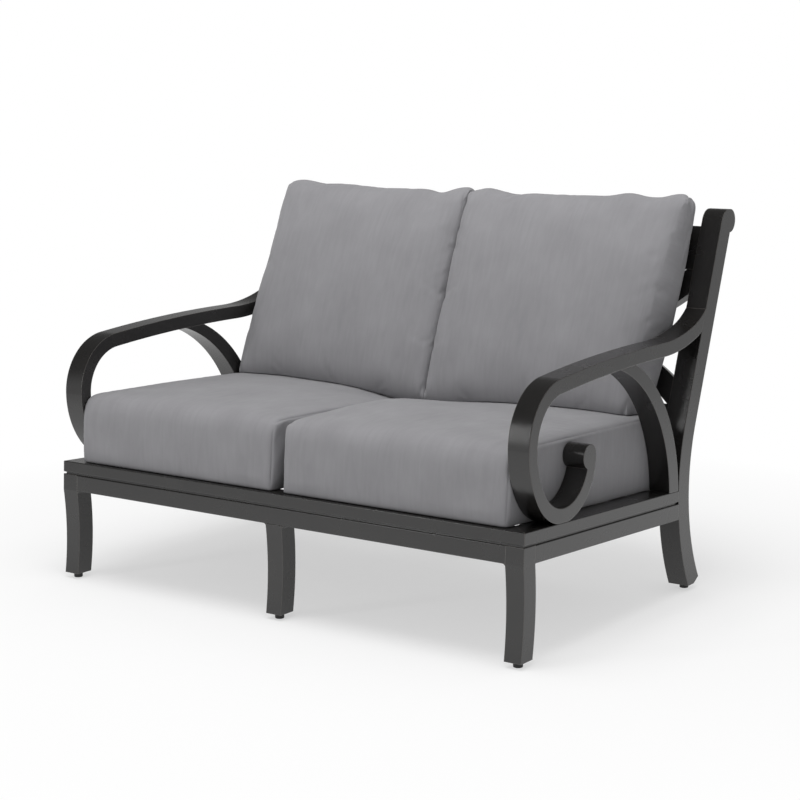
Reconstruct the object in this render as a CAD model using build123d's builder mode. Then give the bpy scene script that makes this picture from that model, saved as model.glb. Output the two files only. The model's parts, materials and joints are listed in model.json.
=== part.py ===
from build123d import *
import os
from math import asin, cos, degrees, radians, sin, tan

os.makedirs("parts", exist_ok=True)

# A two-seat patio loveseat: a welded frame of bent and straight aluminium tube, with two loose
# seat cushions and two loose back cushions. Millimetres. +Z is up, the front faces -Y and
# +X is to the sitter's left. The origin is on the floor, under the middle of the whole part.

# Overall sizes
frame_width = 1370.0
seat_slope = 2.84
rim_front_height = 303.5
post_top_height = 941.0
glide_height = 14.0

# Seat frame: a flat rim over an upright apron, with a narrow shadow groove between them
rim_width = 62.0
rim_height = 28.0
groove_height = 5.0
groove_inset = 5.0
apron_thickness = 28.0
apron_height = 40.5
centre_rail_width = 40.0
slat_width = 45.0
slat_thickness = 6.0
slat_count = 5

# Tube walls and the small radius on every outside edge
tube_wall = 3.0
edge_radius = 1.8
cut_overrun = 40.0

# Front legs
leg_width = 47.0
leg_foot_width = 43.5
leg_depth = 48.0
leg_toe_reach = 7.5
leg_waist_setback = 7.5
weld_radius = 9.0
weld_inset = 2.0
weld_sink = 0.3

# Rear posts, which run from the foot to the rolled top
post_width = 54.0
post_depth = 55.0
post_front_depth = 721.0
post_waist_height = 265.0
post_lower_radius = 520.0
post_upper_radius = 525.0
post_lean = 19.65
post_roll_radius = 29.0
post_roll_stand = 18.0
post_brow_radius = 38.0
middle_post_width = 50.0

# Arms: one flat tube from the post to the front, ending in a scroll round a solid rod
arm_width = 54.0
arm_thickness = 34.0
scroll_depth = 168.0
scroll_radius = 138.0
scroll_sink = 1.5
scroll_end_angle = -3.5
scroll_turn = 137.5
arm_front_low_radius = 207.0
arm_front_low_turn = 39.0
arm_front_radius = 144.0
arm_front_turn = 84.2
arm_top_radius = 4750.0
arm_top_turn = 5.8
arm_sweep_radius = 520.0
arm_sweep_turn = 18.0
arm_rise_radius = 205.0
arm_rise_turn = 27.0
bulb_radius = 28.5
bulb_weld_angle = 18.0

# Braces, from the rear of the rim up to the arm: depths of both edges at three heights
brace_foot_height = 262.0
brace_foot_front = 672.0
brace_foot_rear = 718.0
brace_middle_height = 460.0
brace_middle_front = 607.5
brace_middle_rear = 658.0
brace_head_height = 612.0
brace_head_front = 381.0
brace_head_rear = 474.0

# Back: two rails and a stile, with two bent bars back to back in each half. The heights are
# measured up the lean of the back, from the place where the posts become straight
back_setback = 13.5
back_thickness = 28.0
top_rail_top = 490.0
top_rail_height = 112.0
low_rail_top = 35.0
low_rail_height = 90.0
stile_width = 50.0
bent_bar_width = 56.0
bars_meet = 202.0
bars_sink = 0.5
upper_bar_end = 322.0
lower_bar_end = 98.0

# Glides: a round foot on a plug that is driven into the open end of each leg
glide_radius = 11.0
glide_bevel = 2.0
plug_height = 24.0

# Cushions: a fabric cover over a foam core
soft_gap = 0.4
cover_thickness = 1.5
core_gap = 0.3
seam_radius = 7.0

# Seat cushions, measured along the slope of the seat and square to it
seat_cushion_width = 607.0
seat_cushion_front = 16.0
seat_cushion_rear = 704.0
seat_front_height = 172.0
seat_rear_height = 186.0
seat_front_rise = 14.0
seat_rear_rise = 6.0
seat_edge_bow = 4.0
seat_middle_bow = 12.0
seat_front_radius = 38.0
seat_rear_radius = 24.0
seat_foot_radius = 12.0
seat_draw_in = 9.0
seat_corner_draw = 24.0
seat_edge_sink = 3.0
seat_cushion_centre = 321.0

# Back cushions, measured up the lean of the back and square to it. They thin towards their sides.
back_cushion_width = 622.0
back_cushion_foot = -50.0
back_cushion_top = 537.0
back_edge_thickness = 132.0
back_edge_rise = 14.0
back_edge_bow = 6.0
back_middle_bow = 34.0
back_front_radius = 44.0
back_rear_radius = 18.0
back_draw_in = 3.0
back_corner_draw = 14.0
back_edge_sink = 38.0
back_rear_sink = 26.0
back_cushion_centre = 317.5

# Worked-out places
slope = radians(seat_slope)
lean = radians(post_lean)
half_width = frame_width / 2
arm_centre = half_width - arm_width / 2
post_centre = half_width - post_width / 2
post_inner = half_width - post_width
apron_top = rim_height + groove_height
apron_bottom = apron_top + apron_height
lean_foot = post_waist_height + post_upper_radius * sin(lean)
lean_front = post_front_depth + post_upper_radius * (1 - cos(lean))
post_rise = (post_top_height - lean_foot) / cos(lean)
roll_height = post_top_height - post_roll_radius
roll_rear = lean_front + (roll_height - lean_foot) * tan(lean) + post_depth / cos(lean) + post_roll_stand
roll_depth = roll_rear - post_roll_radius
depth_origin = (roll_rear - leg_toe_reach) / 2

# Side plane: local x is the depth behind the rim's front edge, local y is the height
side_plane = Plane(origin=(0, -depth_origin, 0), x_dir=(0, 1, 0), z_dir=(1, 0, 0))
# Front plane: local x is along the width, local y is the height
front_plane = Plane(origin=(0, -depth_origin, 0), x_dir=(1, 0, 0), z_dir=(0, -1, 0))
# Seat plane: the top of the rim, which drops to the rear; local y runs back along it
seat_plane = Plane(
    origin=(0, -depth_origin, rim_front_height), x_dir=(1, 0, 0), z_dir=(0, sin(slope), cos(slope))
)
# Back plane: the front faces of the rails; local y runs up along the lean of the posts
back_plane = Plane(
    origin=(0, lean_front - depth_origin, lean_foot), x_dir=(1, 0, 0), z_dir=(0, -cos(lean), sin(lean))
).offset(-back_setback)


def seat_point(along, above):
    """Depth and height of a point given along the rim's slope and square to it."""
    return (
        along * cos(slope) + above * sin(slope),
        rim_front_height - along * sin(slope) + above * cos(slope),
    )


def walk(start, heading, runs):
    """Follow straight runs (length, 0) and arcs (radius, turn); give each point and heading."""
    stops = [(start, heading)]
    for size, turn in runs:
        (x, y), way = stops[-1]
        if turn == 0:
            x += size * cos(radians(way))
            y += size * sin(radians(way))
        else:
            side = 1 if turn > 0 else -1
            x += side * size * (sin(radians(way + turn)) - sin(radians(way)))
            y -= side * size * (cos(radians(way + turn)) - cos(radians(way)))
        stops.append(((x, y), way + turn))
    return stops


def beside(point, way, offset):
    """The point that lies offset to the left of a heading."""
    return (point[0] - offset * sin(radians(way)), point[1] + offset * cos(radians(way)))


def bent_outline(start, heading, runs, thickness):
    """Draw both edges and both ends of a bar of steady thickness along a walked line."""
    stops = walk(start, heading, runs)
    half = thickness / 2
    for (point, way), (end, end_way), (size, turn) in zip(stops, stops[1:], runs):
        for offset in (half, -half):
            if turn == 0:
                Line(beside(point, way, offset), beside(end, end_way, offset))
            else:
                side = 1 if turn > 0 else -1
                centre = beside(point, way, side * size)
                CenterArc(centre, size - side * offset, way - 90 * side, turn)
    for point, way in (stops[0], stops[-1]):
        Line(beside(point, way, half), beside(point, way, -half))


# The post's line, walked down from the waist to the foot and up from the waist to the top
post_waist = (post_front_depth + post_depth / 2, post_waist_height)
post_down_runs = [(post_lower_radius - post_depth / 2, degrees(asin(post_waist_height / post_lower_radius)))]
post_up_runs = [(post_upper_radius - post_depth / 2, -post_lean), (post_rise, 0)]


def bent_face(start, heading, runs, thickness):
    """The side view of one bent bar, as a flat face."""
    with BuildSketch() as face:
        with BuildLine():
            bent_outline(start, heading, runs, thickness)
        make_face()
    return face.sketch


def post_face(inset=0.0, up_runs=post_up_runs):
    """Side view of a post without its rolled top: the part below the waist and the part above."""
    with BuildSketch() as face:
        add(bent_face(post_waist, 270, post_down_runs, post_depth - 2 * inset))
        add(bent_face(post_waist, 90, up_runs, post_depth - 2 * inset))
    return face.sketch


# The space that the posts fill across the whole width: rails, braces and arms are trimmed to it
with BuildPart() as post_space:
    with BuildSketch(side_plane):
        add(post_face())
    extrude(amount=frame_width, both=True)


def finish_piece(piece, name):
    piece.part.label = name
    export_step(piece.part, "parts/" + name + ".step")


# Rim rails. The front corners are mitred; the side rails end on the posts.
def rim_rail(name, corners, bore_size, bore_centre, long_axis, to_posts=False):
    with BuildPart() as rail:
        with BuildSketch(seat_plane):
            with BuildLine():
                Polyline(*corners, close=True)
            make_face()
        extrude(amount=-rim_height)
        if to_posts:
            add(post_space.part, mode=Mode.SUBTRACT)
        fillet(rail.edges().filter_by(long_axis), edge_radius)
        with BuildSketch(seat_plane.offset(-tube_wall)):
            with Locations(bore_centre):
                Rectangle(*bore_size)
        extrude(amount=-(rim_height - 2 * tube_wall), mode=Mode.SUBTRACT)
    finish_piece(rail, name)


slope_axis = Axis((0, 0, 0), (0, cos(slope), -sin(slope)))
rim_bore = rim_width - 2 * tube_wall
rim_inner = half_width - rim_width
side_rail_end = post_front_depth + post_depth / 2
rim_rail(
    "seat_rim_front",
    [(-half_width, 0), (half_width, 0), (rim_inner, rim_width), (-rim_inner, rim_width)],
    (frame_width, rim_bore),
    (0, rim_width / 2),
    Axis.X,
)
for side, name in ((-1, "seat_rim_left"), (1, "seat_rim_right")):
    rim_rail(
        name,
        [
            (side * half_width, 0),
            (side * half_width, side_rail_end),
            (side * rim_inner, side_rail_end),
            (side * rim_inner, rim_width),
        ],
        (rim_bore, 2 * side_rail_end),
        (side * (half_width - rim_width / 2), side_rail_end),
        slope_axis,
        to_posts=True,
    )
rear_rail_front = post_front_depth + tube_wall
rear_rail_width = post_depth - 2 * tube_wall
rear_rail_rear = rear_rail_front + rear_rail_width
for side, name in ((-1, "seat_rim_rear_left"), (1, "seat_rim_rear_right")):
    inner, outer = side * middle_post_width / 2, side * post_inner
    rim_rail(
        name,
        [
            (inner, rear_rail_front),
            (outer, rear_rail_front),
            (outer, rear_rail_rear),
            (inner, rear_rail_rear),
        ],
        (frame_width, rear_rail_width - 2 * tube_wall),
        (0, rear_rail_front + rear_rail_width / 2),
        Axis.X,
    )


# Apron rails: an upright tube with a low rib along its top, which carries the rim
def apron_rail(name, low, high, inward, long_axis, to_posts=False):
    """A rail between two corners of its plan; inward points from its outer face inwards."""
    (x0, y0), (x1, y1) = low, high
    middle = ((x0 + x1) / 2, (y0 + y1) / 2)
    rib = (x1 - x0 - abs(inward[0]) * groove_inset, y1 - y0 - abs(inward[1]) * groove_inset)
    rib_middle = (middle[0] + inward[0] * groove_inset / 2, middle[1] + inward[1] * groove_inset / 2)
    bore = (
        x1 - x0 + cut_overrun - abs(inward[0]) * (cut_overrun + 2 * tube_wall),
        y1 - y0 + cut_overrun - abs(inward[1]) * (cut_overrun + 2 * tube_wall),
    )
    with BuildPart() as rail:
        with BuildSketch(seat_plane.offset(-apron_top)):
            with Locations(middle):
                Rectangle(x1 - x0, y1 - y0)
        extrude(amount=-apron_height)
        fillet(rail.edges().filter_by(long_axis), edge_radius)
        with BuildSketch(seat_plane.offset(-apron_top)):
            with Locations(rib_middle):
                Rectangle(*rib)
        extrude(amount=groove_height)
        if to_posts:
            add(post_space.part, mode=Mode.SUBTRACT)
        with BuildSketch(seat_plane.offset(-apron_top - tube_wall)):
            with Locations(middle):
                Rectangle(*bore)
        extrude(amount=-(apron_height - 2 * tube_wall), mode=Mode.SUBTRACT)
    finish_piece(rail, name)


leg_inner = half_width - leg_width
apron_rail("apron_front", (-leg_inner, 0), (leg_inner, apron_thickness), (0, 1), Axis.X)
for side, name in ((-1, "apron_left"), (1, "apron_right")):
    x_low, x_high = sorted((side * half_width, side * (half_width - apron_thickness)))
    apron_rail(name, (x_low, leg_depth), (x_high, side_rail_end), (-side, 0), slope_axis, to_posts=True)
apron_rear_front = rear_rail_front + tube_wall
for side, name in ((-1, "apron_rear_left"), (1, "apron_rear_right")):
    x_low, x_high = sorted((side * middle_post_width / 2, side * post_inner))
    apron_rail(
        name, (x_low, apron_rear_front), (x_high, apron_rear_front + apron_thickness), (0, -1), Axis.X
    )

# Centre rail of the seat, from the front rim back to the middle post
with BuildPart() as centre_rail:
    with BuildSketch(seat_plane):
        with Locations((0, (rim_width + side_rail_end) / 2)):
            Rectangle(centre_rail_width, side_rail_end - rim_width)
    extrude(amount=-rim_height)
    add(post_space.part, mode=Mode.SUBTRACT)
    with BuildSketch(seat_plane.offset(-tube_wall)):
        with Locations((0, (rim_width + side_rail_end) / 2)):
            Rectangle(centre_rail_width - 2 * tube_wall, side_rail_end)
    extrude(amount=-(rim_height - 2 * tube_wall), mode=Mode.SUBTRACT)
finish_piece(centre_rail, "seat_centre_rail")

# Seat slats: flat bars from the centre rail to the side rims, level with the top of the rim
slat_inner = centre_rail_width / 2
slat_middle = (slat_inner + rim_inner) / 2
slat_pitch = (post_front_depth - rim_width) / slat_count
slat_first = rim_width + slat_pitch / 2
for side, side_name in ((-1, "left"), (1, "right")):
    for number in range(slat_count):
        with BuildPart() as slat:
            with BuildSketch(seat_plane):
                with Locations((side * slat_middle, slat_first + number * slat_pitch)):
                    Rectangle(rim_inner - slat_inner, slat_width)
            extrude(amount=-slat_thickness)
        finish_piece(slat, "seat_slat_" + side_name + "_" + str(number + 1))


# Front legs: a saber curve in side view and a slight taper in front view, up to the aprons
leg_top = seat_point(0, -apron_bottom)
leg_waist_height = (leg_top[1] + glide_height) / 2
leg_middle = half_width - leg_width / 2
foot_middle_depth = leg_depth / 2 - leg_toe_reach
# The front and the side faces of the aprons, seen square on, with the lower edge as the x axis
apron_front_plane = Plane(
    origin=(0, leg_top[0] - depth_origin, leg_top[1]), x_dir=(1, 0, 0), z_dir=(0, -cos(slope), sin(slope))
)
apron_side_plane = Plane(
    origin=(0, leg_top[0] - depth_origin, leg_top[1]), x_dir=(0, cos(slope), -sin(slope)), z_dir=(1, 0, 0)
)


def weld_face(corner, along):
    """The rounded inner corner between a leg and the underside of an apron rail."""
    centre = (corner + along * weld_radius, -weld_radius)
    with BuildSketch() as face:
        with BuildLine():
            Polyline(
                (corner + along * weld_radius, 0),
                (corner - along * weld_radius, 0),
                (corner - along * weld_radius, -weld_radius),
                (corner, -weld_radius),
            )
            CenterArc(centre, weld_radius, 90 + 90 * along, -90 * along)
        make_face()
    return face.sketch


def leg_form(middle, inset):
    """The leg below the aprons with its faces moved in by inset, cut level at the foot."""
    half_top = leg_width / 2 - inset
    half_foot = leg_foot_width / 2 - inset
    front_top = (leg_top[0] + inset, leg_top[1])
    rear_top = (leg_top[0] + leg_depth - inset, leg_top[1])
    toe = (-leg_toe_reach + inset, glide_height)
    heel = (-leg_toe_reach + leg_depth - inset, glide_height)
    waist_front = (toe[0] + front_top[0]) / 2 + leg_waist_setback
    waist_rear = (heel[0] + rear_top[0]) / 2 + leg_waist_setback
    with BuildPart() as form:
        with BuildSketch(side_plane):
            with BuildLine():
                ThreePointArc(toe, (waist_front, leg_waist_height), front_top)
                Line(front_top, rear_top)
                ThreePointArc(rear_top, (waist_rear, leg_waist_height), heel)
                Line(heel, toe)
            make_face()
        extrude(amount=frame_width, both=True)
        with BuildSketch(front_plane):
            with BuildLine():
                Polyline(
                    (middle - half_foot, glide_height),
                    (middle + half_foot, glide_height),
                    (middle + half_top, leg_top[1]),
                    (middle - half_top, leg_top[1]),
                    close=True,
                )
            make_face()
        extrude(amount=frame_width, both=True, mode=Mode.INTERSECT)
        split(bisect_by=seat_plane.offset(-apron_bottom), keep=Keep.BOTTOM)
    return form.part


def lower_end(bore):
    """The part of a tube's bore that the plug of its glide fills."""
    with BuildPart() as plug:
        add(bore)
        split(bisect_by=Plane.XY.offset(glide_height + plug_height), keep=Keep.BOTTOM)
    return plug.part


def glide_part(bore, centre):
    """A round foot under a plug, standing on the floor."""
    with BuildPart() as glide:
        with BuildSketch(Plane.XY):
            with Locations(centre):
                Circle(glide_radius)
        extrude(amount=glide_height)
        fillet(glide.edges().group_by(Axis.Z)[0], glide_bevel)
        add(lower_end(bore))
    return glide


for name, middle, weld_sides in (
    ("left", -leg_middle, (1,)),
    ("middle", 0, (-1, 1)),
    ("right", leg_middle, (-1,)),
):
    corner_leg = middle != 0
    outward = 1 if middle > 0 else -1
    block_front = 0 if corner_leg else apron_thickness
    block_depth = leg_depth - block_front
    block_height = apron_height if corner_leg else apron_height + groove_height
    lower_bore = leg_form(middle, tube_wall)
    with BuildPart() as leg:
        add(leg_form(middle, 0))
        with BuildSketch(seat_plane.offset(-apron_bottom)):
            with Locations((middle, block_front + block_depth / 2)):
                Rectangle(leg_width, block_depth)
        extrude(amount=block_height)
        if corner_leg:
            with BuildSketch(seat_plane.offset(-apron_top)):
                with Locations((middle - outward * groove_inset / 2, (leg_depth + groove_inset) / 2)):
                    Rectangle(leg_width - groove_inset, leg_depth - groove_inset)
            extrude(amount=groove_height)
            with BuildSketch(apron_side_plane.offset(outward * (half_width - weld_inset))):
                add(weld_face(leg_depth - weld_sink, 1))
            extrude(amount=-outward * (apron_thickness - 2 * weld_inset))
        with BuildSketch(apron_front_plane.offset(-weld_inset)):
            for side in weld_sides:
                add(weld_face(middle + side * (leg_width / 2 - weld_sink), side))
        extrude(amount=-(apron_thickness - 2 * weld_inset))
        add(lower_bore, mode=Mode.SUBTRACT)
        with BuildSketch(seat_plane.offset(-apron_bottom)):
            with Locations((middle, block_front + block_depth / 2)):
                Rectangle(leg_width - 2 * tube_wall, block_depth - 2 * tube_wall)
        extrude(amount=block_height - tube_wall, mode=Mode.SUBTRACT)
    finish_piece(leg, "front_leg_" + name)
    finish_piece(glide_part(lower_bore, (middle, foot_middle_depth - depth_origin)), "glide_front_" + name)


# Rear posts with their rolled tops
foot_angle = asin((post_waist_height - glide_height) / post_lower_radius)
post_foot_front = post_front_depth + post_lower_radius * (1 - cos(foot_angle))
post_foot_depth = post_foot_front + post_depth / 2 / cos(foot_angle)
post_front_top = lean_front + (post_top_height - lean_foot) * tan(lean)
brow_height = roll_height - post_roll_radius / 2
brow_front = lean_front + (brow_height - lean_foot) * tan(lean)
post_bore_runs = [post_up_runs[0], (post_rise - 2 * post_roll_radius, 0)]


def post_form(middle, width, up_runs, inset=0.0):
    """A post without its rolled top, its faces moved in by inset, cut level at the foot."""
    with BuildPart() as form:
        with BuildSketch(side_plane.offset(middle)):
            add(post_face(inset, up_runs))
        extrude(amount=width / 2 - inset, both=True)
        split(bisect_by=Plane.XY.offset(glide_height), keep=Keep.TOP)
    return form.part


for side, name in ((-1, "left"), (1, "right")):
    middle = side * post_centre
    bore = post_form(middle, post_width, post_bore_runs, tube_wall)
    with BuildPart() as post:
        add(post_form(middle, post_width, post_up_runs))
        split(bisect_by=Plane.XY.offset(brow_height), keep=Keep.BOTTOM)
        with BuildSketch(side_plane.offset(middle)):
            with BuildLine():
                Polyline(
                    (brow_front, brow_height),
                    (post_front_top, post_top_height),
                    (roll_depth, post_top_height),
                    (roll_depth, brow_height),
                    close=True,
                )
            make_face()
            fillet(vertices().group_by(Axis.Y)[-1].sort_by(Axis.X)[0], post_brow_radius)
            with Locations((roll_depth, roll_height)):
                Circle(post_roll_radius)
        extrude(amount=post_width / 2, both=True)
        add(bore, mode=Mode.SUBTRACT)
    finish_piece(post, "rear_post_" + name)
    finish_piece(glide_part(bore, (middle, post_foot_depth - depth_origin)), "glide_rear_" + name)

# The middle rear leg is the lower part of such a post. It stops under the low rail of the back.
leg_stop_plane = Plane(
    origin=back_plane.from_local_coords((0, low_rail_top - low_rail_height, 0)), z_dir=back_plane.y_dir
)
middle_bore = post_form(0, middle_post_width, post_up_runs, tube_wall)
with BuildPart() as middle_leg:
    add(post_form(0, middle_post_width, post_up_runs))
    add(middle_bore, mode=Mode.SUBTRACT)
    split(bisect_by=leg_stop_plane, keep=Keep.BOTTOM)
finish_piece(middle_leg, "rear_leg_middle")
finish_piece(glide_part(middle_bore, (0, post_foot_depth - depth_origin)), "glide_rear_middle")

# Arms: the bent tube is walked from the scroll, up the front, and back along the top
scroll_line = scroll_radius - arm_thickness / 2
scroll_height = seat_point(scroll_depth, 0)[1] + scroll_radius - scroll_sink
arm_runs = [
    (scroll_line, -scroll_turn),
    (arm_front_low_radius - arm_thickness / 2, -arm_front_low_turn),
    (arm_front_radius - arm_thickness / 2, -arm_front_turn),
    (arm_top_radius, -arm_top_turn),
    (arm_sweep_radius, arm_sweep_turn),
    (arm_rise_radius, arm_rise_turn),
]
scroll_start = (
    scroll_depth + scroll_line * cos(radians(scroll_end_angle)),
    scroll_height + scroll_line * sin(radians(scroll_end_angle)),
)
bulb_reach = scroll_radius - bulb_radius
bulb_centre = (
    scroll_depth + bulb_reach * cos(radians(scroll_end_angle)),
    scroll_height + bulb_reach * sin(radians(scroll_end_angle)),
)
arm_bore_runs = [(scroll_line, -(scroll_turn - bulb_weld_angle))] + arm_runs[1:]
bulb_weld_run = [(scroll_line, -bulb_weld_angle)]
arm_bore_start, arm_bore_heading = walk(scroll_start, scroll_end_angle - 90, bulb_weld_run)[-1]

# The space below the rim's top, and the space that the arms fill across the whole width
with BuildPart() as rim_space:
    with BuildSketch(seat_plane):
        Rectangle(2 * frame_width, 2 * roll_rear)
    extrude(amount=-rim_front_height)
with BuildPart() as arm_space:
    with BuildSketch(side_plane):
        add(bent_face(scroll_start, scroll_end_angle - 90, arm_runs, arm_thickness))
    extrude(amount=frame_width, both=True)

for side, name in ((-1, "left"), (1, "right")):
    middle_plane = side_plane.offset(side * arm_centre)
    with BuildPart() as arm:
        with BuildSketch(middle_plane):
            add(bent_face(scroll_start, scroll_end_angle - 90, arm_runs, arm_thickness))
            with Locations(bulb_centre):
                Circle(bulb_radius)
        extrude(amount=arm_width / 2, both=True)
        with BuildSketch(middle_plane):
            add(bent_face(arm_bore_start, arm_bore_heading, arm_bore_runs, arm_thickness - 2 * tube_wall))
        extrude(amount=arm_width / 2 - tube_wall, both=True, mode=Mode.SUBTRACT)
        add(post_space.part, mode=Mode.SUBTRACT)
        add(rim_space.part, mode=Mode.SUBTRACT)
    finish_piece(arm, "arm_" + name)

# Braces: a curved tube from the rear of the rim up to the underside of each arm
with BuildSketch() as brace_face:
    with BuildLine():
        ThreePointArc(
            (brace_foot_front, brace_foot_height),
            (brace_middle_front, brace_middle_height),
            (brace_head_front, brace_head_height),
        )
        Line((brace_head_front, brace_head_height), (brace_head_rear, brace_head_height))
        ThreePointArc(
            (brace_head_rear, brace_head_height),
            (brace_middle_rear, brace_middle_height),
            (brace_foot_rear, brace_foot_height),
        )
        Line((brace_foot_rear, brace_foot_height), (brace_foot_front, brace_foot_height))
    make_face()
with BuildSketch() as brace_bore:
    add(brace_face.sketch)
    offset(amount=-tube_wall, mode=Mode.REPLACE)
for side, name in ((-1, "left"), (1, "right")):
    middle_plane = side_plane.offset(side * arm_centre)
    with BuildPart() as brace:
        with BuildSketch(middle_plane):
            add(brace_face.sketch)
        extrude(amount=arm_width / 2, both=True)
        with BuildSketch(middle_plane):
            add(brace_bore.sketch)
        extrude(amount=arm_width / 2 - tube_wall, both=True, mode=Mode.SUBTRACT)
        add(post_space.part, mode=Mode.SUBTRACT)
        add(rim_space.part, mode=Mode.SUBTRACT)
        add(arm_space.part, mode=Mode.SUBTRACT)
    finish_piece(brace, "arm_brace_" + name)

# Rails of the back, between the posts, and the stile between the rails
bore_depth = back_thickness - 2 * tube_wall
for name, top, height in (
    ("back_top_rail", top_rail_top, top_rail_height),
    ("back_low_rail", low_rail_top, low_rail_height),
):
    with BuildPart() as rail:
        with BuildSketch(back_plane):
            with Locations((0, top - height / 2)):
                Rectangle(2 * post_inner, height)
        extrude(amount=-back_thickness)
        fillet(rail.edges().filter_by(Axis.X), edge_radius)
        with BuildSketch(back_plane.offset(-tube_wall)):
            with Locations((0, top - height / 2)):
                Rectangle(2 * post_inner, height - 2 * tube_wall)
        extrude(amount=-bore_depth, mode=Mode.SUBTRACT)
    finish_piece(rail, name)

stile_top = top_rail_top - top_rail_height
with BuildPart() as stile:
    with BuildSketch(back_plane):
        with Locations((0, (low_rail_top + stile_top) / 2)):
            Rectangle(stile_width, stile_top - low_rail_top)
    extrude(amount=-back_thickness)
    with BuildSketch(back_plane.offset(-tube_wall)):
        with Locations((0, (low_rail_top + stile_top) / 2)):
            Rectangle(stile_width - 2 * tube_wall, stile_top - low_rail_top)
    extrude(amount=-bore_depth, mode=Mode.SUBTRACT)
finish_piece(stile, "back_stile")

# Bent bars: in each half one bar dips and one bar rises, and they touch in the middle
bay_inner = stile_width / 2
bay_middle = (bay_inner + post_inner) / 2
bay_half = (post_inner - bay_inner) / 2


def bar_face(middle, end_height, stop_height, inset):
    """Front view of a bar, from the flat where the two bars meet to the rail it runs into."""
    way = 1 if stop_height > bars_meet else -1
    sag = way * (end_height - bars_meet) + bars_sink
    radius = (bay_half * bay_half + sag * sag) / (sag + sag)
    with BuildSketch() as face:
        with Locations((middle, bars_meet + way * (radius - bars_sink))):
            Circle(radius - inset)
            Circle(radius - bent_bar_width + inset, mode=Mode.SUBTRACT)
        with Locations((middle, (bars_meet + stop_height) / 2)):
            Rectangle(2 * bay_half, way * (stop_height - bars_meet), mode=Mode.INTERSECT)
    return face.sketch


for side, side_name in ((-1, "left"), (1, "right")):
    for name, end_height, stop_height in (
        ("back_upper_bar_", upper_bar_end, stile_top),
        ("back_lower_bar_", lower_bar_end, low_rail_top),
    ):
        with BuildPart() as bar:
            with BuildSketch(back_plane):
                add(bar_face(side * bay_middle, end_height, stop_height, 0))
            extrude(amount=-back_thickness)
            with BuildSketch(back_plane.offset(-tube_wall)):
                add(bar_face(side * bay_middle, end_height, stop_height, tube_wall))
            extrude(amount=-bore_depth, mode=Mode.SUBTRACT)
        finish_piece(bar, name + side_name)

# Cushions. Each is lofted from side to side through its side views. A side view has one flat
# side, which rests on the frame, and a bowed side opposite it.
# Its sections stand at these shares of half its width
section_shares = (-1, -0.75, -0.5, -0.25, 0, 0.25, 0.5, 0.75, 1)

seat_side_plane = Plane(
    origin=(0, -depth_origin, rim_front_height), x_dir=(0, cos(slope), -sin(slope)), z_dir=(1, 0, 0)
)
back_side_plane = Plane(origin=back_plane.origin, x_dir=back_plane.y_dir, z_dir=(1, 0, 0))


def soft_face(ends, levels, bow, radii, inset):
    """A side view with its flat side down: ends along it, levels of the flat side and of both ends."""
    start, stop = ends[0] + inset, ends[1] - inset
    base, start_level, stop_level = levels[0] + inset, levels[1] - inset, levels[2] - inset
    base_round, start_round, stop_round = (radius - inset for radius in radii)
    middle = (start + start_round + stop - stop_round) / 2
    with BuildSketch() as face:
        with BuildLine():
            Line((start + base_round, base), (stop - base_round, base))
            CenterArc((stop - base_round, base + base_round), base_round, -90, 90)
            Line((stop, base + base_round), (stop, stop_level - stop_round))
            CenterArc((stop - stop_round, stop_level - stop_round), stop_round, 0, 90)
            ThreePointArc(
                (stop - stop_round, stop_level),
                (middle, (start_level + stop_level) / 2 + bow),
                (start + start_round, start_level),
            )
            CenterArc((start + start_round, start_level - start_round), start_round, 90, 90)
            Line((start, start_level - start_round), (start, base + base_round))
            CenterArc((start + base_round, base + base_round), base_round, 180, 90)
        make_face()
    return face.sketch


def seat_face(swell, pinch, inset):
    """Side view of a seat cushion; swell is whole in the middle and pinch is whole at the sides."""
    draw = seat_draw_in * (1 - swell) + seat_corner_draw * pinch
    sink = seat_edge_sink * pinch
    levels = (
        soft_gap,
        seat_front_height + seat_front_rise * swell - sink,
        seat_rear_height + seat_rear_rise * swell - sink,
    )
    bow = seat_edge_bow + (seat_middle_bow - seat_edge_bow) * swell
    radii = (seat_foot_radius, seat_front_radius, seat_rear_radius)
    return soft_face((seat_cushion_front + draw, seat_cushion_rear - draw), levels, bow, radii, inset)


def back_face(swell, pinch, inset):
    """Side view of a back cushion; swell is whole in the middle and pinch is whole at the sides."""
    draw = back_draw_in * (1 - swell) + back_corner_draw * pinch
    base = soft_gap + back_rear_sink * pinch
    level = back_edge_thickness + back_edge_rise * swell - back_edge_sink * pinch
    bow = back_edge_bow + (back_middle_bow - back_edge_bow) * swell
    ends = (back_cushion_foot + draw, back_cushion_top - draw)
    radii = (back_rear_radius, back_front_radius, back_front_radius)
    return soft_face(ends, (base, level, level), bow, radii, inset)


def soft_form(plane, middle, width, view, inset):
    """A whole cushion with its faces moved in by inset, lofted through its side views."""
    half = width / 2 - inset
    with BuildPart() as form:
        for share in section_shares:
            with BuildSketch(plane.offset(middle + share * half)):
                add(view(1 - share**4, share**6, inset))
        loft()
        side_faces = form.faces().sort_by(Axis.X)
        fillet(side_faces[0].edges() + side_faces[-1].edges(), seam_radius - inset)
    return form.part


def seat_form(middle, inset):
    return soft_form(seat_side_plane, middle, seat_cushion_width, seat_face, inset)


def back_form(middle, seat_middle, inset):
    """A back cushion, its foot shaped to the seat cushion it stands on."""
    with BuildPart() as form:
        add(soft_form(back_side_plane, middle, back_cushion_width, back_face, inset))
        add(seat_form(seat_middle, -soft_gap - inset), mode=Mode.SUBTRACT)
    return form.part


def cover_and_core(name, form, *places):
    """The hollow fabric cover, and the foam core inside it."""
    with BuildPart() as cover:
        add(form(*places, 0))
        add(form(*places, cover_thickness), mode=Mode.SUBTRACT)
    finish_piece(cover, name + "_cover")
    with BuildPart() as core:
        add(form(*places, cover_thickness + core_gap))
    finish_piece(core, name + "_core")


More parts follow.
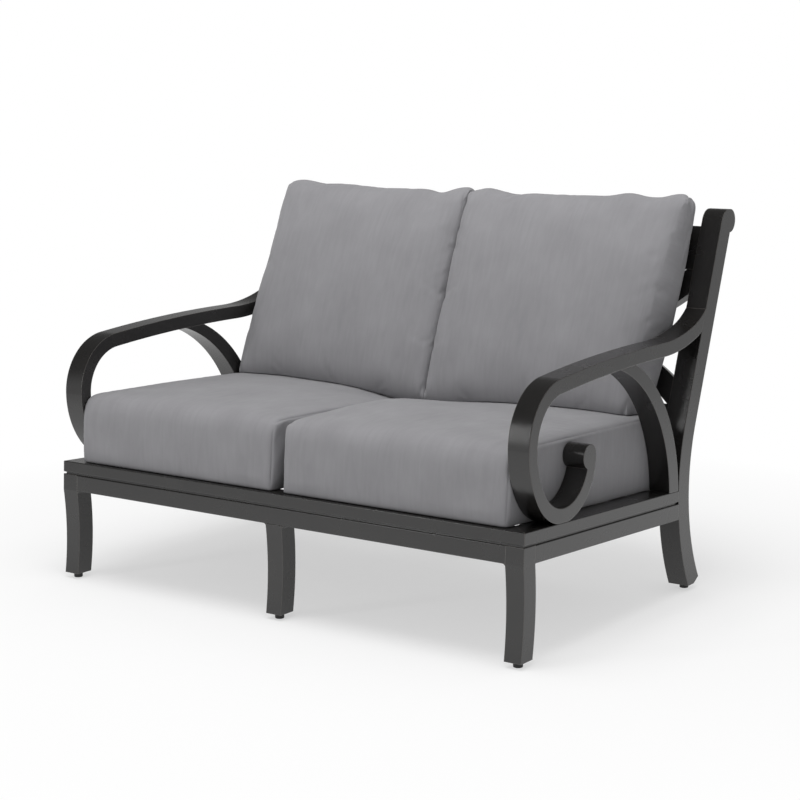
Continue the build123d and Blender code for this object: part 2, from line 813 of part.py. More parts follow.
for side, name in ((-1, "left"), (1, "right")):
    seat_middle = side * seat_cushion_centre
    cover_and_core("seat_cushion_" + name, seat_form, seat_middle)
    cover_and_core("back_cushion_" + name, back_form, side * back_cushion_centre, seat_middle)
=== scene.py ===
# %% [markdown]
# # A patio loveseat with scrolled arms
#
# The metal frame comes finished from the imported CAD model. This script gives every surface its
# finish, models the four loose cushions as stuffed fabric, and photographs the result in a
# white studio. Lengths are in metres, and angles are given in degrees.

# %% Load the frame
import json
import math

import bpy
import numpy as np
from mathutils import Euler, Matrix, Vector, noise
from mathutils.bvhtree import BVHTree


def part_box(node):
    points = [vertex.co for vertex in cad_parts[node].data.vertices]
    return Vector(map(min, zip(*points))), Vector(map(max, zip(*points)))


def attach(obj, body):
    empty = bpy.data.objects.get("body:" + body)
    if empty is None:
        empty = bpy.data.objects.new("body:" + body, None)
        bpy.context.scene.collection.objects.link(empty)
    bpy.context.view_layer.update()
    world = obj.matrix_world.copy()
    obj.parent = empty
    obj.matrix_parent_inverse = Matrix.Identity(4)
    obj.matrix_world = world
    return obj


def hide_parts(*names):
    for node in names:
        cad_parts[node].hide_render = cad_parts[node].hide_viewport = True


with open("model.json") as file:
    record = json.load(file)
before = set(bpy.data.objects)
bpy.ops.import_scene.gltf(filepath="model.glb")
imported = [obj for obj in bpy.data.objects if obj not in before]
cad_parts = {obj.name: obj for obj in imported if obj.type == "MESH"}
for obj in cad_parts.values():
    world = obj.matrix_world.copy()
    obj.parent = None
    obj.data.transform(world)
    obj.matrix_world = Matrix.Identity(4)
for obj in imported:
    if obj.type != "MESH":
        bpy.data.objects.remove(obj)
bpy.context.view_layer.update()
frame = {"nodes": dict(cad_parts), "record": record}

# %% [markdown]
# ## Small tools for node trees
#
# A shader here is written as ordinary Python sums. `Wire` wraps one output socket, and adding or
# multiplying wires makes the matching Math node. Every other node is made by `Graph.node`.

# %% Node tools
class Wire:
    """An output socket that can be added, multiplied and so on with numbers and other wires."""

    def __init__(self, graph, socket):
        self.graph = graph
        self.socket = socket

    def combine(self, operation, *values):
        inputs = dict(enumerate(values))
        return self.graph.node("Math", {"operation": operation}, inputs)

    def __add__(self, other):
        return self.combine("ADD", self, other)

    def __radd__(self, other):
        return self.combine("ADD", other, self)

    def __sub__(self, other):
        return self.combine("SUBTRACT", self, other)

    def __rsub__(self, other):
        return self.combine("SUBTRACT", other, self)

    def __mul__(self, other):
        return self.combine("MULTIPLY", self, other)

    def __rmul__(self, other):
        return self.combine("MULTIPLY", other, self)

    def __truediv__(self, other):
        return self.combine("DIVIDE", self, other)

    def least(self, other):
        return self.combine("MINIMUM", self, other)

    def most(self, other):
        return self.combine("MAXIMUM", self, other)

    def within(self, low, high):
        """0 below low, 1 above high and a straight line between them."""
        return ((self - low) / (high - low)).most(0.0).least(1.0)


class Graph:
    """A node tree that is emptied and then filled node by node."""

    def __init__(self, tree):
        self.tree = tree
        self.tree.nodes.clear()

    def node(self, kind, settings=None, inputs=None, output=0):
        made = self.tree.nodes.new("ShaderNode" + kind)
        for name, value in (settings or {}).items():
            setattr(made, name, value)
        for name, value in (inputs or {}).items():
            self.feed(made.inputs[name], value)
        return Wire(self, made.outputs[output]) if made.outputs else made

    def feed(self, socket, value):
        if isinstance(value, Wire):
            self.tree.links.new(value.socket, socket)
        else:
            socket.default_value = value

    def blend(self, share, first, second):
        """A colour that goes from first to second as share goes from 0 to 1."""
        made = self.tree.nodes.new("ShaderNodeMix")
        made.data_type = "RGBA"
        colours = [socket for socket in made.inputs if socket.type == "RGBA"]
        self.feed(made.inputs["Factor"], share)
        self.feed(colours[0], first)
        self.feed(colours[1], second)
        return Wire(self, next(socket for socket in made.outputs if socket.type == "RGBA"))


def grey(level, tint=(1.0, 1.0, 1.0)):
    """A grey of this linear level, leaning towards the tint."""
    return (*(level * share for share in tint), 1.0)


def new_material(name):
    made = bpy.data.materials.new(name)
    made.use_nodes = True
    return made, Graph(made.node_tree)


def noise_node(graph, place, scale, detail, distortion=0.0):
    """Soft noise around 0.5; detail is the number of finer layers laid over it."""
    inputs = {"Vector": place, "Scale": scale, "Detail": detail, "Distortion": distortion}
    return graph.node("TexNoise", None, inputs)


print("node tools ready; a mid grey is", grey(0.25))

# %% [markdown]
# ## Powder coat
#
# A dark charcoal satin coat with the fine ripple of baked powder. The Bevel node rounds the light
# on every edge. Where it turns the surface away from the flat face, a paler colour is painted in as
# a highlight, so the edges show as thin bright lines of painted highlight, as they do in the photo.

# %% Powder coat
coat_tint = (1.08, 1.0, 0.94)
coat_colour = grey(0.009, coat_tint)
coat_worn_colour = grey(0.012, coat_tint)
# Painted highlight: the paler colour laid on every edge in place of the light that edges catch
coat_edge_highlight_colour = grey(0.110, coat_tint)
coat_edge_radius = 0.0026
coat_edge_samples = 16
highlight_edge_turn = (0.05, 0.16)
coat_cloud_scale = 14.0
coat_cloud_range = (0.35, 0.7)
coat_ripple_scale = 900.0
coat_ripple_height = 0.00003
coat_roughness = 0.25
coat_roughness_spread = 0.04
coat_gloss = 0.75


def powder_coat():
    made, graph = new_material("powder_coat")
    place = graph.node("TexCoord", output="Object")
    cloud = noise_node(graph, place, coat_cloud_scale, detail=3.0)
    ripple = noise_node(graph, place, coat_ripple_scale, detail=1.0)
    rounded = graph.node("Bevel", {"samples": coat_edge_samples}, {"Radius": coat_edge_radius})
    relief = graph.node(
        "Bump", None, {"Height": ripple, "Distance": coat_ripple_height, "Normal": rounded}
    )
    flat = graph.node("NewGeometry", output="Normal")
    # The cosine between the rounded and the flat normal: 1 on a face, and less near an edge
    facing = graph.node(
        "VectorMath", {"operation": "DOT_PRODUCT"}, {0: rounded, 1: flat}, output="Value"
    )
    # Painted highlight mask: near an edge the base colour turns paler, standing in for an edge
    # highlight
    painted_highlight_share = (1.0 - facing).within(*highlight_edge_turn)
    body_colour = graph.blend(cloud.within(*coat_cloud_range), coat_colour, coat_worn_colour)
    shader = graph.node(
        "BsdfPrincipled",
        None,
        {
            "Base Color": graph.blend(painted_highlight_share, body_colour, coat_edge_highlight_colour),
            "Roughness": coat_roughness + coat_roughness_spread * cloud,
            "Specular IOR Level": coat_gloss,
            "Normal": relief,
        },
    )
    graph.node("OutputMaterial", None, {"Surface": shader})
    return made


# %% [markdown]
# ## Glide plastic
#
# Plain black moulded feet.

# %% Glide plastic
glide_colour = grey(0.012)
glide_grain_scale = 200.0
glide_roughness = 0.45
glide_roughness_spread = 0.15


def glide_plastic():
    made, graph = new_material("glide_plastic")
    place = graph.node("TexCoord", output="Object")
    grain = noise_node(graph, place, glide_grain_scale, detail=2.0)
    roughness = glide_roughness + glide_roughness_spread * grain
    inputs = {"Base Color": glide_colour, "Roughness": roughness}
    shader = graph.node("BsdfPrincipled", None, inputs)
    graph.node("OutputMaterial", None, {"Surface": shader})
    return made


# %% [markdown]
# ## Grey outdoor fabric
#
# A plain weave in mid grey. Thick and thin yarns run down each panel as faint streaks, and a
# broader mottling lies over them. Each cushion carries a UV map in metres, laid along its panels,
# so the streaks turn over the rounded front edge as real cloth does.

# %% Fabric
fabric_tint = (1.012, 1.0, 1.045)
fabric_dark = grey(0.232, fabric_tint)
fabric_light = grey(0.286, fabric_tint)
streak_width = 0.013
streak_length = 0.080
streak_distortion = 0.6
streak_share = 0.35
thread_pitch = 0.0011
thread_squeeze = 0.35
thread_share = 0.15
mottle_scale = 9.0
mottle_share = 0.5
fabric_noise_range = (0.3, 0.7)
weave_height = 0.00012
streak_relief = 0.6
fabric_roughness = 0.9
fabric_gloss = 0.2
fabric_sheen = 0.15
fabric_sheen_roughness = 0.5


def scaled(graph, place, across, along):
    """A place on the cloth, multiplied by these factors across and along the panel."""
    return graph.node("VectorMath", {"operation": "MULTIPLY"}, {0: place, 1: (across, along, 0.0)})


def woven_fabric():
    made, graph = new_material("grey_fabric")
    laid = graph.node("UVMap", {"uv_map": "panels"})
    streak_place = scaled(graph, laid, 1 / streak_width, 1 / streak_length)
    thread_place = scaled(graph, laid, 1 / thread_pitch, thread_squeeze / thread_pitch)
    streaks = noise_node(graph, streak_place, 1.0, detail=3.0, distortion=streak_distortion)
    threads = noise_node(graph, thread_place, 1.0, detail=1.0)
    mottle = noise_node(graph, laid, mottle_scale, detail=3.0)
    share = streak_share * streaks.within(*fabric_noise_range) + thread_share * threads
    share = share + mottle_share * mottle.within(*fabric_noise_range)
    height = threads + streak_relief * streaks
    relief = graph.node("Bump", None, {"Height": height, "Distance": weave_height})
    shader = graph.node(
        "BsdfPrincipled",
        None,
        {
            "Base Color": graph.blend(share, fabric_dark, fabric_light),
            "Roughness": fabric_roughness,
            "Specular IOR Level": fabric_gloss,
            "Sheen Weight": fabric_sheen,
            "Sheen Roughness": fabric_sheen_roughness,
            "Normal": relief,
        },
    )
    graph.node("OutputMaterial", None, {"Surface": shader})
    return made


# %% Dress the metal and plastic nodes
finishes = {
    "powder_coat": powder_coat(),
    "glide_plastic": glide_plastic(),
    "grey_fabric": woven_fabric(),
}
slot_of = {part["node"]: part["material_slot"] for part in frame["record"]["subparts"]}
dressed = 0
for name, node in frame["nodes"].items():
    finish = finishes.get(slot_of[name], finishes["grey_fabric"])
    node.data.materials.clear()
    node.data.materials.append(finish)
    dressed += 1
print("nodes with a finish:", dressed)

# %% [markdown]
# ## Where the cushions lie
#
# Both kinds of cushion are shaped in a flat space of their own and then placed. A seat cushion
# lies on the rim, which drops a little to the rear. A back cushion leans on the rails.
# In the flat space x runs across the sofa, y runs along the cushion and z is its thickness.

# %% Cushion spaces
seat_slope = math.radians(2.84)
back_lean = math.radians(19.65)
_, rim_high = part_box("seat_rim_front")
rail_low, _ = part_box("back_low_rail")
rim_width = 0.062
low_rail_foot = -0.055
low_rail_thickness = 0.028
seat_origin = Vector((0, rim_high.y - rim_width * math.cos(seat_slope), rim_high.z))
seat_along = Vector((0, math.cos(seat_slope), -math.sin(seat_slope)))
seat_up = Vector((0, math.sin(seat_slope), math.cos(seat_slope)))
back_along = Vector((0, math.sin(back_lean), math.cos(back_lean)))
back_out = Vector((0, -math.cos(back_lean), math.sin(back_lean)))
back_origin = Vector((0, rail_low.y, rail_low.z))
back_origin = back_origin + low_rail_thickness * math.sin(back_lean) * Vector((0, 0, 1))
back_origin = back_origin - low_rail_foot * back_along
back_origin.x = 0
print("seat space starts at", tuple(seat_origin), "and back space at", tuple(back_origin))

# %% [markdown]
# ## The cut of a cushion
#
# A cushion starts as the surface of a box, cut by grid lines that are closer near its edges.
# `cut_box` gives each point its place in the grid, so that seams can be found again later.

# %% Cut a box into cloth
edge_lines = (0.0, 0.003, 0.007, 0.012, 0.019)
grid_spacing = 0.010


def grid_lines(length):
    """Distances along an edge: close together near both ends and even in between."""
    count = max(2, round((length - 2 * edge_lines[-1]) / grid_spacing))
    inset = edge_lines[-1]
    middle = [inset + (length - 2 * inset) * step / count for step in range(1, count)]
    far_edge = [length - line for line in reversed(edge_lines)]
    return np.array([*edge_lines, *middle, *far_edge])


def cut_box(size):
    """Points, grid places, last places and quads of a closed box that runs from 0 to size."""
    lines = [grid_lines(length) for length in size]
    last = [len(line) - 1 for line in lines]
    number = {}
    places = []

    def corner(place):
        if place not in number:
            number[place] = len(places)
            places.append(place)
        return number[place]

    quads = []
    for axis in range(3):
        first, second = (axis + 1) % 3, (axis + 2) % 3
        for end in (0, last[axis]):
            for one in range(last[first]):
                for two in range(last[second]):
                    square = []
                    for step_one, step_two in ((0, 0), (1, 0), (1, 1), (0, 1)):
                        place = [0, 0, 0]
                        place[axis] = end
                        place[first] = one + step_one
                        place[second] = two + step_two
                        square.append(corner(tuple(place)))
                    quads.append(square if end else square[::-1])
    places = np.array(places)
    points = np.stack([lines[axis][places[:, axis]] for axis in range(3)], axis=1)
    return points, places, np.array(last), np.array(quads)


sample_size = (0.61, 0.69, 0.17)
sample_points, _, _, sample_quads = cut_box(sample_size)
print("a seat cushion is cut into", len(sample_quads), "squares")

# %% [markdown]
# ## Rounding
#
# A long edge of the box is rounded by turning the square patch beside it into a quarter disc. The
# three directions of edges are rounded one after the other, so each edge has a radius of its own
# and the cloth's grid stays smooth.

# %% Round the box
def round_edges(points, size, axes, radii):
    """Round the edges square to two axes; radii go by (first, second), 0 low and 1 high."""
    one, two = axes
    rounded = points.copy()
    for (end_one, end_two), radius in radii.items():
        way_one, way_two = 2 * end_one - 1, 2 * end_two - 1
        centre_one = size[one] - radius if end_one else radius
        centre_two = size[two] - radius if end_two else radius
        past_one = way_one * (points[:, one] - centre_one)
        past_two = way_two * (points[:, two] - centre_two)
        inside = (past_one > 0) & (past_two > 0)
        length = np.where(inside, np.hypot(past_one, past_two), 1)
        shorten = np.maximum(past_one, past_two) / length
        moved_one = centre_one + way_one * past_one * shorten
        moved_two = centre_two + way_two * past_two * shorten
        rounded[:, one] = np.where(inside, moved_one, rounded[:, one])
        rounded[:, two] = np.where(inside, moved_two, rounded[:, two])
    return rounded


def all_four(radius):
    return {(0, 0): radius, (0, 1): radius, (1, 0): radius, (1, 1): radius}


sample_radius = 0.04
sample_round = round_edges(sample_points, sample_size, (1, 2), all_four(sample_radius))
print("rounding moves the corner by", float(np.abs(sample_round - sample_points).max()))

# %% [markdown]
# ## Stuffing
#
# The foam pushes the middle of every panel out, while the seams hold the cloth in. Each panel
# first swells by an amount that fades to nothing at its own edges. Then the cloth solver blows the
# cover up a little from inside while its seams shrink, which gives the puckers and the soft,
# uneven swelling of a real cover. A pull back to the foam's shape keeps the result in bounds.

# %% Swelling and cloth
cloth_frames = 20
cloth_quality = 6
cloth_stiffness = 0.3
cloth_damping = 3.0
no_length = 1e-9
seed_steps = (7.31, 3.17, 5.77)


def dome(share, power):
    """1 at 0 and 0 at -1 and 1; a higher power is flatter on top."""
    return 1 - np.abs(np.clip(share, -1, 1)) ** power


def bump(share, middle, reach):
    """1 at the middle and close to 0 beyond the reach."""
    return np.exp(-(((share - middle) / reach) ** 2))


def ripples(points, wave, seed):
    """Smooth noise between -1 and 1 at each point, with this wavelength."""
    offset = Vector([seed * step for step in seed_steps])
    return np.array([noise.noise(Vector(point) / wave + offset) for point in points])


def new_piece(name, points, quads):
    mesh = bpy.data.meshes.new(name)
    mesh.from_pydata(points.tolist(), [], quads.tolist())
    mesh.polygons.foreach_set("use_smooth", [True] * len(mesh.polygons))
    piece = bpy.data.objects.new(name, mesh)
    bpy.context.scene.collection.objects.link(piece)
    return piece


def read_points(mesh):
    values = np.empty(len(mesh.vertices) * 3)
    mesh.vertices.foreach_get("co", values)
    return values.reshape(-1, 3)


def write_points(piece, points):
    piece.data.vertices.foreach_set("co", points.ravel())
    piece.data.update()


def blow_up(piece, held, seam, stuffing):
    """Run the cloth solver; held ties a point to its start, and seam says where it shrinks."""
    start = read_points(piece.data)
    for name, weights in (("held", held), ("seam", seam)):
        group = piece.vertex_groups.new(name=name)
        for number, weight in enumerate(weights):
            group.add([number], float(weight), "REPLACE")
    cloth = piece.modifiers.new("cloth", "CLOTH")
    cloth.point_cache.frame_start, cloth.point_cache.frame_end = 1, cloth_frames
    settings = cloth.settings
    settings.quality = cloth_quality
    settings.effector_weights.gravity = 0
    settings.use_pressure = True
    settings.uniform_pressure_force = stuffing["pressure"]
    settings.vertex_group_mass = "held"
    settings.pin_stiffness = 1.0
    settings.vertex_group_shrink = "seam"
    settings.shrink_min, settings.shrink_max = 0.0, stuffing["shrink"]
    settings.bending_stiffness = cloth_stiffness
    settings.air_damping = cloth_damping
    for number in range(1, cloth_frames + 1):
        bpy.context.scene.frame_set(number)
    blown = read_points(piece.evaluated_get(bpy.context.evaluated_depsgraph_get()).data)
    piece.modifiers.remove(cloth)
    piece.vertex_groups.clear()
    bpy.context.scene.frame_set(1)
    moved = blown - start
    length = np.linalg.norm(moved, axis=1, keepdims=True)
    kept = np.minimum(1, stuffing["cap"] / np.maximum(length, no_length))
    write_points(piece, start + moved * kept)
    return float(length.max()), float(length.mean())


print("a dome of power 2 at a quarter of the span:", float(dome(np.array(0.5), 2)))

# %% [markdown]
# ## Seat cushions
#
# One panel runs over the top and down the front, and a boxing panel closes each side. The
# cushion is a little thicker at the rear, so its top stays level although the rim drops. The
# bottom is flat where it rests on the rim and the slats. Where the back cushions press on it, the
# top dips beside the inner seam, and one cushion swells a little in front of that dip.

# %% Shape a seat cushion
seat_front = 0.017
seat_length = 0.686
seat_thickness = 0.170
seat_profile_radii = {(0, 1): 0.040, (0, 0): 0.004, (1, 1): 0.030, (1, 0): 0.010}
seat_side_radii = {(0, 1): 0.012, (0, 0): 0.004, (1, 1): 0.012, (1, 0): 0.004}
seat_corner_radius = 0.012
seat_rear_rise = 0.014
seat_crown_front = 0.006
seat_crown_middle = 0.009
seat_crown_rear = 0.002
seat_crown_powers = (4, 8)
seat_front_swell = 0.007
seat_front_reach = 0.25
seat_front_power = 4
seat_fullness = 0.7
inner_crown_across, inner_crown_along = (-0.75, 0.35), (0.45, 0.28)
rear_dip_across, rear_dip_along = (-0.95, 0.6), (1, 0.32)
seat_side_swell = 0.007
seat_side_powers = (8, 12)
seat_foot_draw = 0.002
seat_foot_power = 4
seat_corner_power = 6
seat_corner_reach = 0.12
seat_rest_gap = 0.001


def seat_shape(width, front_bulge, inner_crown, rear_dip):
    """The foam's shape: x runs from the inner side seam to the outer one, y to the rear, z up."""
    size = (width, seat_length, seat_thickness)
    points, places, last, quads = cut_box(size)
    shape = round_edges(points, size, (1, 2), seat_profile_radii)
    shape = round_edges(shape, size, (0, 2), seat_side_radii)
    shape = round_edges(shape, size, (0, 1), all_four(seat_corner_radius))
    across = 2 * shape[:, 0] / width - 1
    along = np.clip(shape[:, 1] / seat_length, 0, 1)
    up = np.clip(shape[:, 2] / seat_thickness, 0, 1)
    crown = seat_crown_front * (1 - along) + seat_crown_rear * along
    crown += seat_crown_middle * np.sin(math.pi * along)
    crown = crown * dome(across, seat_crown_powers[0]) * dome(2 * along - 1, seat_crown_powers[1])
    shape[:, 2] += up**2 * (seat_rear_rise * along + crown)
    front = np.clip(1 - along / seat_front_reach, 0, 1) ** 2
    full = np.sin(math.pi * up) ** seat_fullness
    shape[:, 1] -= front * seat_front_swell * dome(across, seat_front_power) * full
    swollen = up**2 * inner_crown * bump(across, *inner_crown_across)
    shape[:, 2] += swollen * bump(along, *inner_crown_along)
    dipped = up**2 * rear_dip * bump(across, *rear_dip_across)
    shape[:, 2] -= dipped * bump(along, *rear_dip_along)
    sideways = np.sign(across) * np.abs(across) ** seat_side_powers[0]
    swell = seat_side_swell * np.sin(math.pi * up) * dome(2 * along - 1, seat_side_powers[1])
    shape[:, 0] += sideways * (swell - seat_foot_draw * (1 - up) ** seat_foot_power)
    corner = np.clip(across, 0, 1) ** seat_corner_power * bump(along, 0, seat_corner_reach) * full
    shape[:, 0] += front_bulge * corner
    return shape, points, places, last, quads, size


plain_seat_width = 0.607
plain_seat = seat_shape(plain_seat_width, 0, 0, 0)[0]
print("a seat cushion is", [round(float(v), 3) for v in plain_seat.max(0) - plain_seat.min(0)])

# %% [markdown]
# ## Back cushions
#
# A back cushion is a pillow: full round edges, thinner at the top, with corners that stand up as
# small ears. Its inner side is pressed against the other cushion, so it is rounded less there and
# its foot sags into the seat's dip. Its upper outer corner is pinched flat, and its outer side
# comes in at the foot or at the waist. The upper edge waves a little, as in the photo.
# Here x runs from the inner side to the outer one, and the left cushion is mirrored later.

# %% Shape a back cushion
back_foot = -0.048
back_length = 0.582
back_thickness = 0.160
back_profile_radii = {(1, 1): 0.050, (1, 0): 0.076, (0, 1): 0.050, (0, 0): 0.034}
back_side_radii = {(0, 1): 0.022, (0, 0): 0.022, (1, 1): 0.036, (1, 0): 0.064}
back_corner_radii = {(0, 0): 0.018, (0, 1): 0.016, (1, 0): 0.030, (1, 1): 0.020}
back_crown = 0.018
back_crown_powers = (3, 4)
back_top_thinning = 0.032
back_thinning_power = 4
back_corner_pinch = 0.45
back_pinch_powers = (5, 6)
back_foot_sag = 0.014
back_sag_power = 8
back_sag_reach = 0.6
back_wave_power = 8
back_foot_power = 1.3
back_waist_along = (0.65, 0.32)
back_rest_gap = 0.001


def back_shape(width, foot_draw, waist_draw, waves):
    """The pillow's shape: x from its inner side to its outer one, y to the top, z forward."""
    size = (width, back_length, back_thickness)
    points, places, last, quads = cut_box(size)
    shape = round_edges(points, size, (1, 2), back_profile_radii)
    shape = round_edges(shape, size, (0, 2), back_side_radii)
    shape = round_edges(shape, size, (0, 1), back_corner_radii)
    across = 2 * shape[:, 0] / width - 1
    along = np.clip(shape[:, 1] / back_length, 0, 1)
    out = np.clip(shape[:, 2] / back_thickness, 0, 1)
    crown = out**2 * back_crown * dome(across, back_crown_powers[0])
    shape[:, 2] += crown * dome(2 * along - 1, back_crown_powers[1])
    shape[:, 2] -= out**2 * back_top_thinning * along**back_thinning_power
    outer = np.clip(across, 0, 1)
    pinched = back_corner_pinch * outer ** back_pinch_powers[0] * along ** back_pinch_powers[1]
    shape[:, 2] += pinched * (back_thickness / 2 - shape[:, 2])
    sag = back_foot_sag * (1 - along) ** back_sag_power
    shape[:, 1] -= sag * bump(across, -1, back_sag_reach)
    for middle, height, reach in waves:
        shape[:, 1] += along**back_wave_power * height * bump(across, middle, reach)
    inward = foot_draw * (1 - along) ** back_foot_power
    inward = inward + waist_draw * bump(along, *back_waist_along)
    shape[:, 0] -= inward * outer**2
    return shape, points, places, last, quads, size


plain_back_width = 0.622
plain_back = back_shape(plain_back_width, 0, 0, ())[0]
print("a back cushion is", [round(float(v), 3) for v in plain_back.max(0) - plain_back.min(0)])

# %% [markdown]
# ## Seams
#
# A seat cushion's seams run round its two side panels, and a back cushion's one seam runs round
# the middle of its edge. The seam is sunk after the stuffing, and the finest puckers lie beside it.
# The cloth that lies against the rim or the rails is held flat.

# %% Sew the cushions
seam_width = 0.0035
pucker_height = 0.0006
pucker_wave = 0.020
pucker_reach = 0.030
pucker_seed_step = 20
broad_height = 0.0030
broad_wave = 0.16
broad_reach = 0.05
seam_pull_width = 0.012
loose_from = 0.004
loose_over = 0.025
least_normal = 1e-12


def from_side_seam(points, places, last, size):
    """Distance along the cloth from the seam round each side panel."""
    on_side = (places[:, 0] == 0) | (places[:, 0] == last[0])
    from_side = np.minimum(points[:, 0], size[0] - points[:, 0])
    from_rim = np.minimum.reduce(
        [points[:, 1], size[1] - points[:, 1], points[:, 2], size[2] - points[:, 2]]
    )
    return np.where(on_side, from_rim, from_side)


def from_edge_seam(points, places, last, size):
    """Distance along the cloth from the seam that runs round the middle of a pillow's edge."""
    on_face = (places[:, 2] == 0) | (places[:, 2] == last[2])
    from_middle = np.abs(points[:, 2] - size[2] / 2)
    from_edge = np.minimum.reduce(
        [points[:, 0], size[0] - points[:, 0], points[:, 1], size[1] - points[:, 1]]
    )
    return from_middle + np.where(on_face, from_edge, 0)


def set_along_normals(points, quads, amounts):
    """Move each point by its own amount along the surface's normal there."""
    normals = np.zeros_like(points)
    corners = [points[quads[:, corner]] for corner in range(4)]
    facing = np.cross(corners[2] - corners[0], corners[3] - corners[1])
    for corner in range(4):
        np.add.at(normals, quads[:, corner], facing)
    normals /= np.maximum(np.linalg.norm(normals, axis=1, keepdims=True), least_normal)
    return points + normals * amounts[:, None]


def sew(name, shaped, from_seam_of, stuffing, seed):
    """Blow up one cover, sink its seams, add soft waves, and lay the UV map along its panels."""
    shape, points, places, last, quads, size = shaped
    from_seam = from_seam_of(points, places, last, size)
    loose = np.clip((points[:, 2] - loose_from) / loose_over, 0, 1)
    piece = new_piece(name, shape, quads)
    held = 1 - loose * (1 - stuffing["held"])
    reached = blow_up(piece, held, np.exp(-from_seam / seam_pull_width), stuffing)
    print(name, "points:", len(shape), "moved by the cloth solver, most and mean:", reached)
    amounts = broad_height * ripples(shape, broad_wave, seed)
    amounts = amounts * np.clip(from_seam / broad_reach, 0, 1)
    puckers = pucker_height * ripples(shape, pucker_wave, seed + pucker_seed_step)
    amounts += puckers * np.exp(-from_seam / pucker_reach)
    amounts -= stuffing["seam"] * np.exp(-((from_seam / seam_width) ** 2))
    write_points(piece, set_along_normals(read_points(piece.data), quads, amounts * loose))
    on_side = (places[:, 0] == 0) | (places[:, 0] == last[0])
    laid = piece.data.uv_layers.new(name="panels")
    for face in piece.data.polygons:
        corners = list(face.vertices)
        flat_side = on_side[corners].all()
        for loop, corner in zip(face.loop_indices, corners):
            x, y, z = points[corner]
            over = y + z if y > size[1] / 2 else y - z + 2 * size[2]
            laid.data[loop].uv = (y, z) if flat_side else (x, over)
    return piece


print("seams are", 2 * seam_width, "wide")

# %% [markdown]
# ## Put the cushions in place
#
# Each cushion is carried from its flat space to the sofa and pressed against what it touches: the
# arms, the other cushion of its pair, and the seat under the back cushion.

# %% Placing tools
side_room = 0.0012
corner_bulge = 0.026
probe_height = 0.3
least_upward = 0.2
back_seat_gap = 0.002


def place_points(piece, origin, along, out, start_x, way):
    """Carry a piece from its flat space to its place; way is -1 where x runs towards the left."""
    flat = read_points(piece.data)
    put = np.array(origin) + (start_x + way * flat[:, :1]) * np.array((1.0, 0.0, 0.0))
    put = put + flat[:, 1:2] * np.array(along) + flat[:, 2:] * np.array(out)
    write_points(piece, put)
    if way < 0:
        piece.data.flip_normals()


def smooth(piece):
    """One round of subdivision, applied."""
    modifier = piece.modifiers.new("smooth", "SUBSURF")
    modifier.levels = modifier.render_levels = 1
    bpy.context.view_layer.objects.active = piece
    with bpy.context.temp_override(object=piece, active_object=piece):
        bpy.ops.object.modifier_apply(modifier=modifier.name)


def rest_on(piece, below, gap):
    """Lift the points of a piece that would sink into the cushion below it."""
    tree = BVHTree.FromObject(below, bpy.context.evaluated_depsgraph_get())
    lifted = 0
    for vertex in piece.data.vertices:
        above = Vector((vertex.co.x, vertex.co.y, vertex.co.z + probe_height))
        hit, normal, _, _ = tree.ray_cast(above, Vector((0, 0, -1)))
        if hit is not None and vertex.co.z < hit.z + gap and normal.z > least_upward:
            vertex.co.z = hit.z + gap
            lifted += 1
    return lifted


def press_sides(piece, way, inner, outer, front):
    """Keep a cushion between the middle and an arm; before the arm's front it may bulge past."""
    points = read_points(piece.data)
    sideways = way * points[:, 0]
    room = outer + corner_bulge * (points[:, 1] < front)
    sideways = np.clip(sideways, inner, room)
    pressed = int((np.abs(sideways - way * points[:, 0]) > 0).sum())
    points[:, 0] = way * sideways
    write_points(piece, points)
    return pressed


arm_inner = min(corner.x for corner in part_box("arm_right"))
arm_front = min(corner.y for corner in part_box("arm_right"))
print("the cushions have", round(arm_inner, 3), "from the middle to an arm")

# %% [markdown]
# ## The two halves
#
# The photo shows that the halves differ: each cushion has its own width, dips and ears. `way` is
# the side that a half faces, and the seams are where a cushion's two sides lie, counted from the
# middle of the sofa outwards. A wave of a back cushion's top has its middle, height and reach.

# %% Traits of the two halves
seat_stuffing = {"held": 0.25, "pressure": 4.0, "shrink": 0.02, "cap": 0.008, "seam": 0.0026}
back_stuffing = {"held": 0.15, "pressure": 5.0, "shrink": 0.03, "cap": 0.014, "seam": 0.0010}
seat_seed, back_seed = 1, 5
sides = {
    "left": {
        "way": -1,
        "seat_seams": (0.022, 0.648),
        "seat_traits": {"front_bulge": 0.018, "inner_crown": 0.0, "rear_dip": 0.036},
        "back_seams": (-0.003, 0.632),
        "back_traits": {
            "foot_draw": 0.0,
            "waist_draw": 0.016,
            "waves": (
                (-0.95, 0.008, 0.12),
                (-0.68, -0.009, 0.10),
                (0.85, 0.013, 0.18),
                (0.35, 0.006, 0.35),
            ),
        },
    },
    "right": {
        "way": 1,
        "seat_seams": (0.007, 0.630),
        "seat_traits": {"front_bulge": 0.0, "inner_crown": 0.016, "rear_dip": 0.030},
        "back_seams": (-0.003, 0.634),
        "back_traits": {
            "foot_draw": 0.038,
            "waist_draw": 0.0,
            "waves": (
                (-0.84, 0.008, 0.09),
                (-0.57, -0.004, 0.12),
                (0.48, 0.008, 0.12),
                (0.93, 0.012, 0.13),
            ),
        },
    },
}
for side, traits in sides.items():
    widths = [round(far - near, 3) for near, far in (traits["seat_seams"], traits["back_seams"])]
    print("the", side, "seat and back cushions are cut", widths, "wide")

